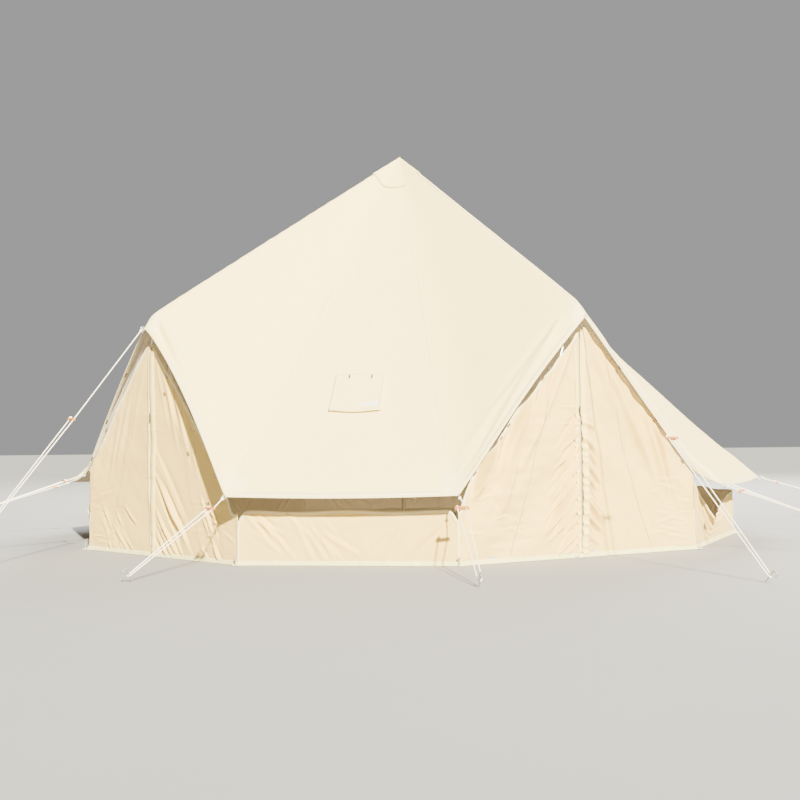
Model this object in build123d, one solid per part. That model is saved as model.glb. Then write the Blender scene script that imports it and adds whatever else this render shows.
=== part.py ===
from build123d import *
from math import atan2, cos, degrees, hypot, pi, radians, sin
import os

# Bell tent with a round back and two tall framed doors at the front.
# Frame: origin at the middle of the groundsheet's underside, +Z up, millimetres.
# Azimuths run from -Y (the front low wall) towards +X. Low walls stand in front at 0
# degrees and at each side at 72 and 288 degrees, the doors stand between them at 36 and
# 324 degrees, and a low wall of six panels goes round the back. The outer corner beside
# the left door is slack: it stands nearer to the door and its eave is higher.

SECTOR = 72
DOOR_AZIMUTHS = (36, 324)
WALLS = {"front": 0, "right": 72, "left": 288}
BACK_PANELS = 6

# plan and heights of the fabric
BASE_RADIUS = 3000
BASE_HALF_ANGLE = 15.2
EAVE_RADIUS = 3233
EAVE_HALF_ANGLE = 14.6
EAVE_HEIGHT = 498
SLACK_EAVE_RADIUS = 2993
SLACK_EAVE_AZIMUTH = 306.4
SLACK_EAVE_HEIGHT = 623
SLACK_BASE_ALONG = 907
HANG_RADIUS = 3030
HANG_AZIMUTH = 56.9
HANG_HEIGHT = 560
KNEE_RADIUS = 2812
KNEE_HEIGHT = 1896
TIP_RADIUS = 2876
TIP_HEIGHT = 1765
PEAK_HEIGHT = 3554
WALL_HEIGHT = 385
ROOF_THICKNESS = 8
WALL_THICKNESS = 5

# doors
DOOR_TOP = 1690
DOOR_SILL = 20
SHOULDER_ALONG = 975
SHOULDER_HEIGHT = 610
SLACK_SHOULDER_ALONG = 872
SLACK_SHOULDER_HEIGHT = 640
SLACK_PANEL_HEIGHT = 560
SEAM_FOOT = 660
SEAM_TOP = 34
SEAM_GAP = 6
ZIP_HALF_GAP = 10
LEAF_HEAD_DROP = 40
ZIP_REST_HEIGHT = 1100
SLIDER_WIDTH = 14
SLIDER_HEIGHT = 26
SLIDER_DEPTH = 8
SLIDER_CLEARANCE = 0.5
PULL_WIDTH = 8
PULL_LENGTH = 52
PULL_THICKNESS = 3
PULL_OVERLAP = 4

# low wall that has slipped off its middle hooks: distance along it and height of its top edge
DROOPED_WALL = "right"
DROOP_PROFILE = ((520, 176), (1250, 350))

# poles
POLE_RADIUS = 19
POLE_WALL = 2
POLE_JOINTS = (24, 1190, 2350, 3500)
SPIGOT_LENGTH = 90
SPIGOT_CLEARANCE = 0.1
SPIGOT_COLLAR = 20
FLOOR_THICKNESS = 4
FLOOR_INSET = 2
POLE_FOOT_RADIUS = 48
POLE_FOOT_THICKNESS = 12
POLE_CUP_RADIUS = 27
POLE_CUP_HEIGHT = 60
POLE_CAP_HEIGHT = 30
LEG_RADIUS = 12.5
LEG_SETBACK = 50
LEG_FOOT_SPREAD = 640
LEG_FOOT_HEIGHT = 30
LEG_HEAD_DROP = 72
LEG_HEAD_SPREAD = 22
BOOT_LOW_RADIUS = 24
BOOT_TOP_RADIUS = 18
BOOT_HEIGHT = 60
KNUCKLE_DROP = 134
KNUCKLE_RISE = 84
KNUCKLE_WIDTH = 112
KNUCKLE_DEPTH = 34
KNUCKLE_ROUNDING = 8

# roof fittings
CAP_RADIUS = 380
CAP_THICKNESS = 5
JACK_WIDTH = 330
JACK_LENGTH = 350
JACK_THICKNESS = 2
JACK_INSET = 22
FLAP_WIDTH = 395
FLAP_LENGTH = 412
FLAP_THICKNESS = 3
FLAP_CLEARANCE = 1
FLAP_TOP_DISTANCE = 2225

# guy lines: peg distance from the centre pole, for each door and each group of eave corners
ROPE_RADIUS = 4
PEG_RADIUS = 5
PEG_STANDING = 95
PEG_HOOK = 34
PEG_HOOK_END = 20
ROPE_AT_PEG = 45
LOOP_HALF_GAP = 30
ROPE_TAIL = 30
TIP_PEG_RADII = (4660, 4400)
FRONT_PEGS = ((4080, -17.4), (4170, 14.2))
SIDE_PEG_RADIUS = 4800
BACK_PEG_RADIUS = 4550
TIP_RUNNER_SHARES = (0.52, 0.41)
EAVE_RUNNER_SHARE = 0.16
SIDE_RUNNER_SHARE = 0.09
RING_RADIUS = 15
RING_WIRE = 3
RUNNER_LENGTH = 96
RUNNER_WIDTH = 24
RUNNER_THICKNESS = 14
RUNNER_HOLE = 6.2
RUNNER_BEND = 150

TOGGLE_RADIUS = 6
TOGGLE_LENGTH = 34
TOGGLE_SHARES = (0.3, 0.62, 0.88)
WALL_PEG_OFFSET = 45
WALL_PEG_HEIGHT = 60
WALL_PEG_RADIUS = 4
WALL_PEG_HEAD_RADIUS = 11
WALL_PEG_HEAD_THICKNESS = 5
LOOP_WIDTH = 26
LOOP_THICKNESS = 3
LOOP_HEIGHT = 6
LOOP_START = 7
LOOP_BEYOND_PEG = 16
LOOP_HOLE_RADIUS = 4.5


def polar(radius, azimuth, height):
    a = radians(azimuth)
    return Vector(radius * sin(a), -radius * cos(a), height)


def outward(azimuth):
    return polar(1, azimuth, 0)


def across(azimuth):
    """Horizontal direction along a wall or door, at right angles to outward."""
    a = radians(azimuth)
    return Vector(cos(a), sin(a), 0)


def slab(corners, push):
    """Flat panel with the given corners, made thick along push."""
    face = Face(Wire.make_polygon(corners, close=True))
    return extrude(face, amount=push.length, dir=push.normalized())


def rod(start, end, radius):
    way = end - start
    return Solid.make_cylinder(radius, way.length, Plane(origin=start, z_dir=way.normalized()))


def save(shapes, name):
    """Write one sub-part: a single solid, or a group of separate solids."""
    solids = [solid for shape in shapes for solid in shape.solids()]
    model = solids[0] if len(solids) == 1 else Compound(children=solids)
    model.label = name
    export_step(model, f"parts/{name}.step")


DOOR_HALF_ANGLE = SECTOR / 2 - BASE_HALF_ANGLE
DOOR_DISTANCE = BASE_RADIUS * cos(radians(DOOR_HALF_ANGLE))
SLACK_BASE_RADIUS = hypot(DOOR_DISTANCE, SLACK_BASE_ALONG)
SLACK_BASE_AZIMUTH = DOOR_AZIMUTHS[1] - degrees(atan2(SLACK_BASE_ALONG, DOOR_DISTANCE))
EAVE_DISTANCE = EAVE_RADIUS * cos(radians(EAVE_HALF_ANGLE))
FRONT_SLOPE = (PEAK_HEIGHT - EAVE_HEIGHT) / EAVE_DISTANCE


def corner_azimuths(half_angle, slack_azimuth):
    """Azimuths of all low corners, in order round the tent from the front wall's left end."""
    front = [-half_angle, half_angle]
    right = [SECTOR - half_angle, SECTOR + half_angle]
    span = 360 - 2 * (SECTOR + half_angle)
    back = [SECTOR + half_angle + span * i / BACK_PANELS for i in range(1, BACK_PANELS)]
    left = [360 - SECTOR - half_angle, slack_azimuth]
    return front + right + back + left


BASE_AZIMUTHS = corner_azimuths(BASE_HALF_ANGLE, SLACK_BASE_AZIMUTH)
EAVE_AZIMUTHS = corner_azimuths(EAVE_HALF_ANGLE, SLACK_EAVE_AZIMUTH)
BACK_AZIMUTHS = BASE_AZIMUTHS[3:-1]
WALL_CORNERS = {"front": BASE_AZIMUTHS[:2], "right": BASE_AZIMUTHS[2:4], "left": BASE_AZIMUTHS[-2:]}


def on_door(azimuth, along, height, out=0.0):
    """Point on a door's upright plane, along being measured from its middle."""
    return outward(azimuth) * (DOOR_DISTANCE + out) + across(azimuth) * along + Vector(0, 0, height)


def knee(azimuth):
    return polar(KNEE_RADIUS, azimuth, KNEE_HEIGHT)


def tip(azimuth):
    return polar(TIP_RADIUS, azimuth, TIP_HEIGHT)


def eave(azimuth):
    """Low corner of the roof."""
    if azimuth == SLACK_EAVE_AZIMUTH:
        return polar(SLACK_EAVE_RADIUS, azimuth, SLACK_EAVE_HEIGHT)
    return polar(EAVE_RADIUS, azimuth, EAVE_HEIGHT)


def base(azimuth, beyond=0, height=0):
    """Foot of a wall corner, or a point beyond it seen from the middle."""
    radius = SLACK_BASE_RADIUS if azimuth == SLACK_BASE_AZIMUTH else BASE_RADIUS
    return polar(radius + beyond, azimuth, height)


def hang():
    """Lowest point of the roof's edge over the wall corner at the right door's outer side."""
    return polar(HANG_RADIUS, HANG_AZIMUTH, HANG_HEIGHT)


def roof_gaps():
    """Each pair of neighbouring eave corners, with the door between them or None."""
    pairs = []
    for i, start in enumerate(EAVE_AZIMUTHS):
        end = EAVE_AZIMUTHS[(i + 1) % len(EAVE_AZIMUTHS)]
        doors = [door for door in DOOR_AZIMUTHS if start < door < end]
        if i == len(EAVE_AZIMUTHS) - 1:
            doors = [DOOR_AZIMUTHS[-1]]
        pairs.append((start, end, doors[0] if doors else None))
    return pairs


def canopy():
    """Roof of flat gores, with a high ridge and a short brim over each door."""
    peak = Vector(0, 0, PEAK_HEIGHT)
    up = Vector(0, 0, ROOF_THICKNESS)
    panels = []
    for start, end, door in roof_gaps():
        if door is None:
            panels.append(slab([peak, eave(start), eave(end)], up))
            continue
        panels.append(slab([peak, eave(start), knee(door)], up))
        panels.append(slab([peak, knee(door), eave(end)], up))
        panels.append(slab([knee(door), eave(start), tip(door)], up))
        panels.append(slab([knee(door), tip(door), eave(end)], up))
    panels.append(slab([tip(DOOR_AZIMUTHS[0]), hang(), eave(EAVE_AZIMUTHS[2])], up))
    return panels


def apex_cap():
    """Vent hood that lies on the roof's gores round the peak."""
    top = Vector(0, 0, PEAK_HEIGHT + ROOF_THICKNESS)
    up = Vector(0, 0, CAP_THICKNESS)

    def below(corner):
        return top + (corner - Vector(0, 0, PEAK_HEIGHT)) * CAP_RADIUS / hypot(corner.X, corner.Y)

    panels = []
    for start, end, door in roof_gaps():
        rim = [eave(start), eave(end)] if door is None else [eave(start), knee(door), eave(end)]
        for left, right in zip(rim, rim[1:]):
            panels.append(slab([top, below(left), below(right)], up))
    return panels


def on_roof(distance, along, lift):
    """Point on the front roof gore at a distance from the centre, lifted off its top face."""
    normal = Vector(0, -FRONT_SLOPE, 1).normalized()
    z = PEAK_HEIGHT + ROOF_THICKNESS - FRONT_SLOPE * distance
    return Vector(along, -distance, z) + normal * lift


def roof_patch(top_distance, length, width, lift, thickness):
    run = length / hypot(1, FRONT_SLOPE)
    low = top_distance + run
    half = width / 2
    corners = [
        on_roof(top_distance, -half, lift),
        on_roof(low, -half, lift),
        on_roof(low, half, lift),
        on_roof(top_distance, half, lift),
    ]
    return slab(corners, Vector(0, -FRONT_SLOPE, 1).normalized() * thickness)


def low_panel(start, end, sag=()):
    """Flat low wall between two base corners. sag gives low points of its top edge."""
    push = (start + end).normalized() * WALL_THICKNESS
    rise = Vector(0, 0, WALL_HEIGHT)
    way = (end - start).normalized()
    low_points = [start + way * along + Vector(0, 0, height) for along, height in sag]
    return slab([end, end + rise, *low_points[::-1], start + rise, start], push)


def wall(name):
    """One low wall, with the fixed half panel of each door that stands beside it."""
    azimuth = WALLS[name]
    corners = dict(zip((-1, 1), WALL_CORNERS[name]))
    sag = DROOP_PROFILE if name == DROOPED_WALL else ()
    panels = [low_panel(base(corners[-1]), base(corners[1]), sag)]
    for side, corner in corners.items():
        door = (azimuth + side * SECTOR / 2) % 360
        if door not in DOOR_AZIMUTHS:
            continue
        slack = corner == SLACK_BASE_AZIMUTH
        along = SLACK_SHOULDER_ALONG if slack else SHOULDER_ALONG
        height = SLACK_SHOULDER_HEIGHT if slack else SHOULDER_HEIGHT
        corner_height = SLACK_PANEL_HEIGHT if slack else WALL_HEIGHT
        outline = [
            base(corner),
            on_door(door, -side * SEAM_FOOT, 0),
            on_door(door, -side * SEAM_TOP, DOOR_TOP),
            on_door(door, -side * along, height),
            base(corner, height=corner_height),
        ]
        panels.append(slab(outline, outward(azimuth) * WALL_THICKNESS))
    return panels


def back_wall():
    """Low wall of flat panels round the back."""
    corners = [base(azimuth) for azimuth in BACK_AZIMUTHS]
    return [low_panel(start, end) for start, end in zip(corners, corners[1:])]


def seam_at(height):
    """Distance of the slanted door seam from the door's middle."""
    return SEAM_FOOT + (SEAM_TOP - SEAM_FOOT) * height / DOOR_TOP


def leaf(azimuth, side):
    """One door leaf, between the upright zip and the slanted seam that it swings on."""
    head_height = DOOR_TOP - LEAF_HEAD_DROP
    corners = [
        on_door(azimuth, side * ZIP_HALF_GAP, DOOR_SILL),
        on_door(azimuth, side * (seam_at(DOOR_SILL) - SEAM_GAP), DOOR_SILL),
        on_door(azimuth, side * (seam_at(head_height) - SEAM_GAP), head_height),
        on_door(azimuth, side * ZIP_HALF_GAP, head_height),
    ]
    return slab(corners, outward(azimuth) * WALL_THICKNESS)


def zip_slider(azimuth):
    """Slider body and hanging pull, on the zip edge of the left leaf."""
    x_dir, z_dir = across(azimuth), outward(azimuth)
    along = -ZIP_HALF_GAP - SLIDER_WIDTH / 2
    place = on_door(azimuth, along, ZIP_REST_HEIGHT, WALL_THICKNESS + SLIDER_CLEARANCE)
    body = Plane(origin=place, x_dir=x_dir, z_dir=z_dir) * Box(
        SLIDER_WIDTH, SLIDER_HEIGHT, SLIDER_DEPTH, align=(Align.CENTER, Align.CENTER, Align.MIN)
    )
    below = place - Vector(0, 0, SLIDER_HEIGHT / 2 - PULL_OVERLAP) + z_dir * SLIDER_DEPTH
    pull = Plane(origin=below, x_dir=x_dir, z_dir=z_dir) * Box(
        PULL_WIDTH, PULL_LENGTH, PULL_THICKNESS, align=(Align.CENTER, Align.MAX, Align.MIN)
    )
    return [body + pull]


def tube_section(bottom, top, with_spigot):
    outer = Solid.make_cylinder(POLE_RADIUS, top - bottom, Plane((0, 0, bottom)))
    bore_radius = POLE_RADIUS - POLE_WALL
    tube = outer - Solid.make_cylinder(bore_radius, top - bottom, Plane((0, 0, bottom)))
    if not with_spigot:
        return tube
    pin_radius = bore_radius - SPIGOT_CLEARANCE
    pin = Solid.make_cylinder(pin_radius, SPIGOT_LENGTH, Plane((0, 0, bottom - SPIGOT_LENGTH)))
    collar = Solid.make_cylinder(bore_radius, SPIGOT_COLLAR, Plane((0, 0, bottom)))
    return tube + collar + pin


def pole_foot():
    floor = Plane((0, 0, FLOOR_THICKNESS))
    base = Solid.make_cylinder(POLE_FOOT_RADIUS, POLE_FOOT_THICKNESS, floor)
    cup = Solid.make_cylinder(POLE_CUP_RADIUS, POLE_CUP_HEIGHT, floor)
    socket = Solid.make_cylinder(POLE_RADIUS, POLE_CUP_HEIGHT, Plane((0, 0, POLE_JOINTS[0])))
    return base + cup - socket


def pole_cap():
    return Solid.make_cylinder(POLE_RADIUS, POLE_CAP_HEIGHT, Plane((0, 0, POLE_JOINTS[-1])))


def leg_ends(azimuth, side):
    head = on_door(azimuth, side * LEG_HEAD_SPREAD, KNEE_HEIGHT - LEG_HEAD_DROP, -LEG_SETBACK)
    foot = on_door(azimuth, side * LEG_FOOT_SPREAD, LEG_FOOT_HEIGHT, -LEG_SETBACK)
    return head, foot


def frame_legs(azimuth):
    """The two straight legs that hold up the roof over one door."""
    return [rod(*leg_ends(azimuth, side), LEG_RADIUS) for side in (-1, 1)]


def knuckle(azimuth):
    """Elbow block that joins the two legs under the roof's corner."""
    place = on_door(azimuth, 0, KNEE_HEIGHT - KNUCKLE_DROP, -LEG_SETBACK)
    block = Plane(origin=place, x_dir=across(azimuth), z_dir=(0, 0, 1)) * Box(
        KNUCKLE_WIDTH, KNUCKLE_DEPTH, KNUCKLE_RISE, align=(Align.CENTER, Align.CENTER, Align.MIN)
    )
    block = fillet(block.edges().filter_by(Axis.Z), KNUCKLE_ROUNDING)
    for leg in frame_legs(azimuth):
        block -= leg
    return block


def leg_foot(azimuth, side):
    """Rubber boot under a leg."""
    foot = on_door(azimuth, side * LEG_FOOT_SPREAD, FLOOR_THICKNESS, -LEG_SETBACK)
    boot = Solid.make_cone(BOOT_LOW_RADIUS, BOOT_TOP_RADIUS, BOOT_HEIGHT, Plane(foot))
    head, low = leg_ends(azimuth, side)
    return boot - rod(low, head, LEG_RADIUS)


class GuyLine:
    """Frame of one guy line: up the rope, level across it, and along the leaning peg."""

    def __init__(self, ring_point, peg_radius, peg_azimuth, runner_share):
        spot = polar(peg_radius, peg_azimuth, ROPE_AT_PEG)
        self.ring = ring_point
        self.up_rope = (ring_point - spot).normalized()
        self.level = self.up_rope.cross(Vector(0, 0, 1)).normalized()
        self.peg_way = self.level.cross(self.up_rope).normalized()
        self.peg = spot
        self.runner_distance = (ring_point - spot).length * (1 - runner_share)

    def at(self, up, side):
        return self.peg + self.up_rope * up + self.level * side

    def rope(self):
        """Rope from ring to runner, round the peg and back to the runner's other hole."""
        bend = PEG_RADIUS + ROPE_RADIUS
        reach = self.runner_distance
        points = [
            self.ring,
            self.at(reach, LOOP_HALF_GAP),
            self.at(-bend, bend),
            self.at(-bend, -bend),
            self.at(reach + ROPE_TAIL, -LOOP_HALF_GAP),
        ]
        peg_bend = bend * 0.999
        turn = (points[2] - points[1]).get_angle(points[3] - points[2])
        print(f"rope arcs: runner {RUNNER_BEND} mm, peg {peg_bend:.1f} mm, peg turns {turn:.1f} deg")
        path = FilletPolyline(*points, radius=[RUNNER_BEND, peg_bend, peg_bend])
        start = Plane(origin=points[0], z_dir=(points[1] - points[0]).normalized())
        tube = sweep(start * Circle(ROPE_RADIUS), path=path.wire())
        expected = pi * ROPE_RADIUS**2 * path.length
        print(f"rope length {path.length:.0f} mm, volume over expected {tube.volume / expected:.5f}")
        return tube

    def peg_solid(self):
        """The part of a leaning rod peg that stands out of the ground, with its hook."""
        below = self.peg - self.peg_way * 200
        above = self.peg + self.peg_way * (PEG_STANDING - ROPE_AT_PEG)
        hook = above + self.up_rope * -PEG_HOOK
        shaft = rod(below, above, PEG_RADIUS)
        shaft += Solid.make_sphere(PEG_RADIUS, Plane(above))
        shaft += rod(above, hook, PEG_RADIUS)
        shaft += rod(hook, hook - self.peg_way * PEG_HOOK_END, PEG_RADIUS)
        shaft += Solid.make_sphere(PEG_RADIUS, Plane(hook))
        ground = Pos(self.peg.X, self.peg.Y, 0) * Box(
            900, 900, 500, align=(Align.CENTER, Align.CENTER, Align.MIN)
        )
        return shaft & ground

    def runner(self):
        """Wooden slide block with a hole for each leg of the rope."""
        place = Plane(
            origin=self.at(self.runner_distance, 0), x_dir=self.level, z_dir=self.up_rope
        )
        block = Box(RUNNER_LENGTH, RUNNER_WIDTH, RUNNER_THICKNESS)
        block = fillet(block.edges().filter_by(Axis.Z), RUNNER_WIDTH / 2 - 1)
        for side in (-1, 1):
            block -= Pos(side * LOOP_HALF_GAP, 0, 0) * Cylinder(RUNNER_HOLE, RUNNER_THICKNESS * 2)
        return place * block

    def ring_solid(self):
        """Welded ring that hangs from the fabric corner and holds the rope's end."""
        plane = Plane(origin=self.ring, x_dir=self.up_rope, z_dir=self.level)
        return plane * Torus(RING_RADIUS, RING_WIRE)


def guy_lines():
    tips, eaves = [], []
    for azimuth, peg_radius, share in zip(DOOR_AZIMUTHS, TIP_PEG_RADII, TIP_RUNNER_SHARES):
        point = tip(azimuth) + outward(azimuth) * RING_RADIUS
        tips.append(GuyLine(point, peg_radius, azimuth, share))
    for azimuth in EAVE_AZIMUTHS:
        point = eave(azimuth) + outward(azimuth) * RING_RADIUS
        at_side = azimuth in EAVE_AZIMUTHS[2:4] + EAVE_AZIMUTHS[-2:]
        peg = (SIDE_PEG_RADIUS if at_side else BACK_PEG_RADIUS, azimuth)
        if azimuth in EAVE_AZIMUTHS[:2]:
            peg = FRONT_PEGS[EAVE_AZIMUTHS.index(azimuth)]
        share = SIDE_RUNNER_SHARE if at_side else EAVE_RUNNER_SHARE
        eaves.append(GuyLine(point, *peg, share))
    return tips, eaves


def wall_peg(azimuth):
    """Short peg through the groundsheet loop at a wall corner, above ground only."""
    foot = base(azimuth, WALL_PEG_OFFSET)
    shaft = Solid.make_cylinder(WALL_PEG_RADIUS, WALL_PEG_HEIGHT, Plane(foot))
    top = Plane(foot + Vector(0, 0, WALL_PEG_HEIGHT))
    return shaft + Solid.make_cylinder(WALL_PEG_HEAD_RADIUS, WALL_PEG_HEAD_THICKNESS, top)


def peg_loop(azimuth):
    """Webbing tab from the wall corner's foot, with a hole round the wall peg."""
    start = base(azimuth, LOOP_START, LOOP_HEIGHT)
    plane = Plane(origin=start, x_dir=across(azimuth), z_dir=(0, 0, 1))
    length = WALL_PEG_OFFSET + LOOP_BEYOND_PEG
    tab = plane * Box(LOOP_WIDTH, length, LOOP_THICKNESS, align=(Align.CENTER, Align.MAX, Align.MIN))
    peg = Plane(base(azimuth, WALL_PEG_OFFSET))
    return tab - Solid.make_cylinder(LOOP_HOLE_RADIUS, LOOP_HEIGHT * 2, peg)


def toggle(door_azimuth, side, share):
    """Small wooden toggle just under the roof's door edge."""
    start = tip(door_azimuth)
    beside = [azimuth % 360 for azimuth in EAVE_AZIMUTHS]
    gap = [side * ((azimuth - door_azimuth + 180) % 360 - 180) for azimuth in beside]
    nearest = min(range(len(gap)), key=lambda i: gap[i] if gap[i] > 0 else 360)
    end = hang() if nearest == 2 else eave(EAVE_AZIMUTHS[nearest])
    way = (end - start).normalized()
    centre = start + (end - start) * share - Vector(0, 0, TOGGLE_RADIUS)
    return rod(centre - way * TOGGLE_LENGTH / 2, centre + way * TOGGLE_LENGTH / 2, TOGGLE_RADIUS)


def main():
    os.makedirs("parts", exist_ok=True)

    save(canopy(), "canopy")
    save(apex_cap(), "apex_cap")
    jack_top = FLAP_TOP_DISTANCE + JACK_INSET
    save([roof_patch(jack_top, JACK_LENGTH, JACK_WIDTH, 0, JACK_THICKNESS)], "stove_jack_panel")
    flap_lift = JACK_THICKNESS + FLAP_CLEARANCE
    save([roof_patch(FLAP_TOP_DISTANCE, FLAP_LENGTH, FLAP_WIDTH, flap_lift, FLAP_THICKNESS)], "stove_flap")
    hinge = on_roof(FLAP_TOP_DISTANCE, 0, flap_lift)
    print(f"flap hinge at {hinge.X:.1f} {hinge.Y:.1f} {hinge.Z:.1f}")

    floor_corners = [base(azimuth, -FLOOR_INSET) for azimuth in BASE_AZIMUTHS]
    save([slab(floor_corners, Vector(0, 0, FLOOR_THICKNESS))], "groundsheet")

    for name in WALLS:
        save(wall(name), f"wall_{name}")
    save(back_wall(), "wall_back")

    for side_name, door in zip(("right", "left"), DOOR_AZIMUTHS):
        save([leaf(door, -1)], f"{side_name}_door_leaf_left")
        save([leaf(door, 1)], f"{side_name}_door_leaf_right")
        save(zip_slider(door), f"{side_name}_door_zip_slider")
        save(frame_legs(door), f"{side_name}_door_frame")

    save([knuckle(azimuth) for azimuth in DOOR_AZIMUTHS], "frame_knuckles")
    save([leg_foot(azimuth, side) for azimuth in DOOR_AZIMUTHS for side in (-1, 1)], "frame_feet")

    save([tube_section(POLE_JOINTS[0], POLE_JOINTS[1], False)], "pole_lower")
    save([tube_section(POLE_JOINTS[1], POLE_JOINTS[2], True)], "pole_middle")
    save([tube_section(POLE_JOINTS[2], POLE_JOINTS[3], True)], "pole_upper")
    save([pole_foot()], "pole_foot")
    save([pole_cap()], "pole_cap")

    tips, eaves = guy_lines()
    for i, line in enumerate(tips):
        save([line.rope()], f"rope_tip_{i + 1}")
    for i, line in enumerate(eaves):
        save([line.rope()], f"rope_eave_{i + 1}")
    save([line.peg_solid() for line in tips + eaves], "guy_pegs")
    save([line.runner() for line in tips + eaves], "guy_runners")
    save([line.ring_solid() for line in tips], "tip_rings")
    save([line.ring_solid() for line in eaves], "eave_rings")

    save([wall_peg(azimuth) for azimuth in BASE_AZIMUTHS], "wall_pegs")
    save([peg_loop(azimuth) for azimuth in BASE_AZIMUTHS], "peg_loops")
    sides = [(door, side) for door in DOOR_AZIMUTHS for side in (-1, 1)]
    save([toggle(door, side, share) for door, side in sides for share in TOGGLE_SHARES], "toggles")


main()
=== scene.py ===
import math

import bpy
import numpy as np
from mathutils import Matrix


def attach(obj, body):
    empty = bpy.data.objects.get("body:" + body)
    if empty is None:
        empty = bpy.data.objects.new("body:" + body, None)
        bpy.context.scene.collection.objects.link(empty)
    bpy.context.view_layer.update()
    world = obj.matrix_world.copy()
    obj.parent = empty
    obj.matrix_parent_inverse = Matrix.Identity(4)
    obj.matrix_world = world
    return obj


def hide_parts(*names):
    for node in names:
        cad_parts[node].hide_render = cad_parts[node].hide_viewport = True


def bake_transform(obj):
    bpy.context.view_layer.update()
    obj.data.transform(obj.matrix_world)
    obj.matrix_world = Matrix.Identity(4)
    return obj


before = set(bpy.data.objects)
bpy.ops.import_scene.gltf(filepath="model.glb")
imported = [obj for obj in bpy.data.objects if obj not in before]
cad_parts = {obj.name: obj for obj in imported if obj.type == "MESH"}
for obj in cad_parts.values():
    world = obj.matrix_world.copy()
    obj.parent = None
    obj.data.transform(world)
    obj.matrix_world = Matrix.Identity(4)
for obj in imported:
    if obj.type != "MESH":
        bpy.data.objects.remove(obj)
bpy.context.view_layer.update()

# Looks of the bell tent. Metres, in the CAD frame: +Z up, -Y towards the front low wall.
# Azimuths run from -Y towards +X. Low walls stand at 0, 72 and 288 degrees and round the
# back, and the two doors stand at 36 and 324 degrees.

SECTOR = 72
DOORS = {"right": 36, "left": 324}
BACK_PANELS = 6

BASE_RADIUS = 3.0
BASE_HALF_ANGLE = 15.2
EAVE_RADIUS = 3.233
EAVE_HALF_ANGLE = 14.6
EAVE_HEIGHT = 0.498
SLACK_EAVE_RADIUS = 2.993
SLACK_EAVE_AZIMUTH = 306.4
SLACK_EAVE_HEIGHT = 0.623
SLACK_BASE_ALONG = 0.907
HANG_RADIUS = 3.030
HANG_AZIMUTH = 56.9
HANG_HEIGHT = 0.560
KNEE_RADIUS = 2.812
KNEE_HEIGHT = 1.896
TIP_RADIUS = 2.876
TIP_HEIGHT = 1.765
PEAK_HEIGHT = 3.554
WALL_HEIGHT = 0.385
ROOF_LIFT = 0.006

DOOR_HALF_ANGLE = SECTOR / 2 - BASE_HALF_ANGLE
DOOR_DISTANCE = BASE_RADIUS * math.cos(math.radians(DOOR_HALF_ANGLE))
EAVE_DISTANCE = EAVE_RADIUS * math.cos(math.radians(EAVE_HALF_ANGLE))
DOOR_TOP = 1.69
# Swing line of each half door, from near the zip at the top out to the foot. A dark strip along it is a
# painted shadow of the door tip's guy rope.
SWING_FOOT = 0.657
SWING_TOP = 0.031

UP = np.array([0.0, 0.0, 1.0])
PEAK = PEAK_HEIGHT * UP


def polar(radius, azimuth, height=0.0):
    a = math.radians(azimuth)
    return np.array([radius * math.sin(a), -radius * math.cos(a), height])


def outward(azimuth):
    return polar(1.0, azimuth)


def across(azimuth):
    a = math.radians(azimuth)
    return np.array([math.cos(a), math.sin(a), 0.0])


SLACK_BASE_AZIMUTH = DOORS["left"] - math.degrees(math.atan2(SLACK_BASE_ALONG, DOOR_DISTANCE))
SLACK_BASE_RADIUS = math.hypot(DOOR_DISTANCE, SLACK_BASE_ALONG)


def corner_azimuths(half_angle, slack_azimuth):
    """Azimuths of all low corners, in order round the tent from the front wall's left end."""
    span = 360 - 2 * (SECTOR + half_angle)
    back = [SECTOR + half_angle + span * i / BACK_PANELS for i in range(BACK_PANELS + 1)]
    return [-half_angle, half_angle, SECTOR - half_angle, *back, slack_azimuth]


BASE_AZIMUTHS = corner_azimuths(BASE_HALF_ANGLE, SLACK_BASE_AZIMUTH)
EAVE_AZIMUTHS = corner_azimuths(EAVE_HALF_ANGLE, SLACK_EAVE_AZIMUTH)


def eave(azimuth):
    """Low corner of the roof. The outer one beside the left door is higher and nearer."""
    if azimuth == SLACK_EAVE_AZIMUTH:
        return polar(SLACK_EAVE_RADIUS, azimuth, SLACK_EAVE_HEIGHT)
    return polar(EAVE_RADIUS, azimuth, EAVE_HEIGHT)


def base(azimuth, beyond=0.0):
    """Foot of a wall corner, or a point beyond it seen from the middle."""
    radius = SLACK_BASE_RADIUS if azimuth == SLACK_BASE_AZIMUTH else BASE_RADIUS
    return polar(radius + beyond, azimuth)


def unit(vector):
    return vector / np.linalg.norm(vector)


def unit_rows(vectors):
    return vectors / np.linalg.norm(vectors, axis=-1, keepdims=True)


def ride(obj, body="tent"):
    """Moves a piece with a body."""
    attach(obj, body)
    return obj


# ---------------------------------------------------------------- meshes

def make_object(name, vertices, faces, material, uvs=None):
    """Mesh object from plain arrays, smooth shaded, with UVs in metres where given."""
    mesh = bpy.data.meshes.new(name)
    mesh.from_pydata([tuple(v) for v in vertices], [], faces)
    mesh.polygons.foreach_set("use_smooth", [True] * len(mesh.polygons))
    if uvs is not None:
        layer = mesh.uv_layers.new(name="UVMap")
        corners = np.empty(len(mesh.loops), dtype=np.int32)
        mesh.loops.foreach_get("vertex_index", corners)
        layer.data.foreach_set("uv", np.asarray(uvs, dtype=np.float32)[corners].ravel())
    mesh.materials.append(material)
    mesh.update()
    return linked(name, mesh)


def linked(name, data):
    """New object on that data, in the scene."""
    obj = bpy.data.objects.new(name, data)
    bpy.context.scene.collection.objects.link(obj)
    return obj


def grid_faces(rows, columns, wrap=False):
    faces = []
    last = columns if wrap else columns - 1
    for r in range(rows - 1):
        for c in range(last):
            d = (c + 1) % columns
            faces.append((r * columns + c, r * columns + d, (r + 1) * columns + d, (r + 1) * columns + c))
    return faces


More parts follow.
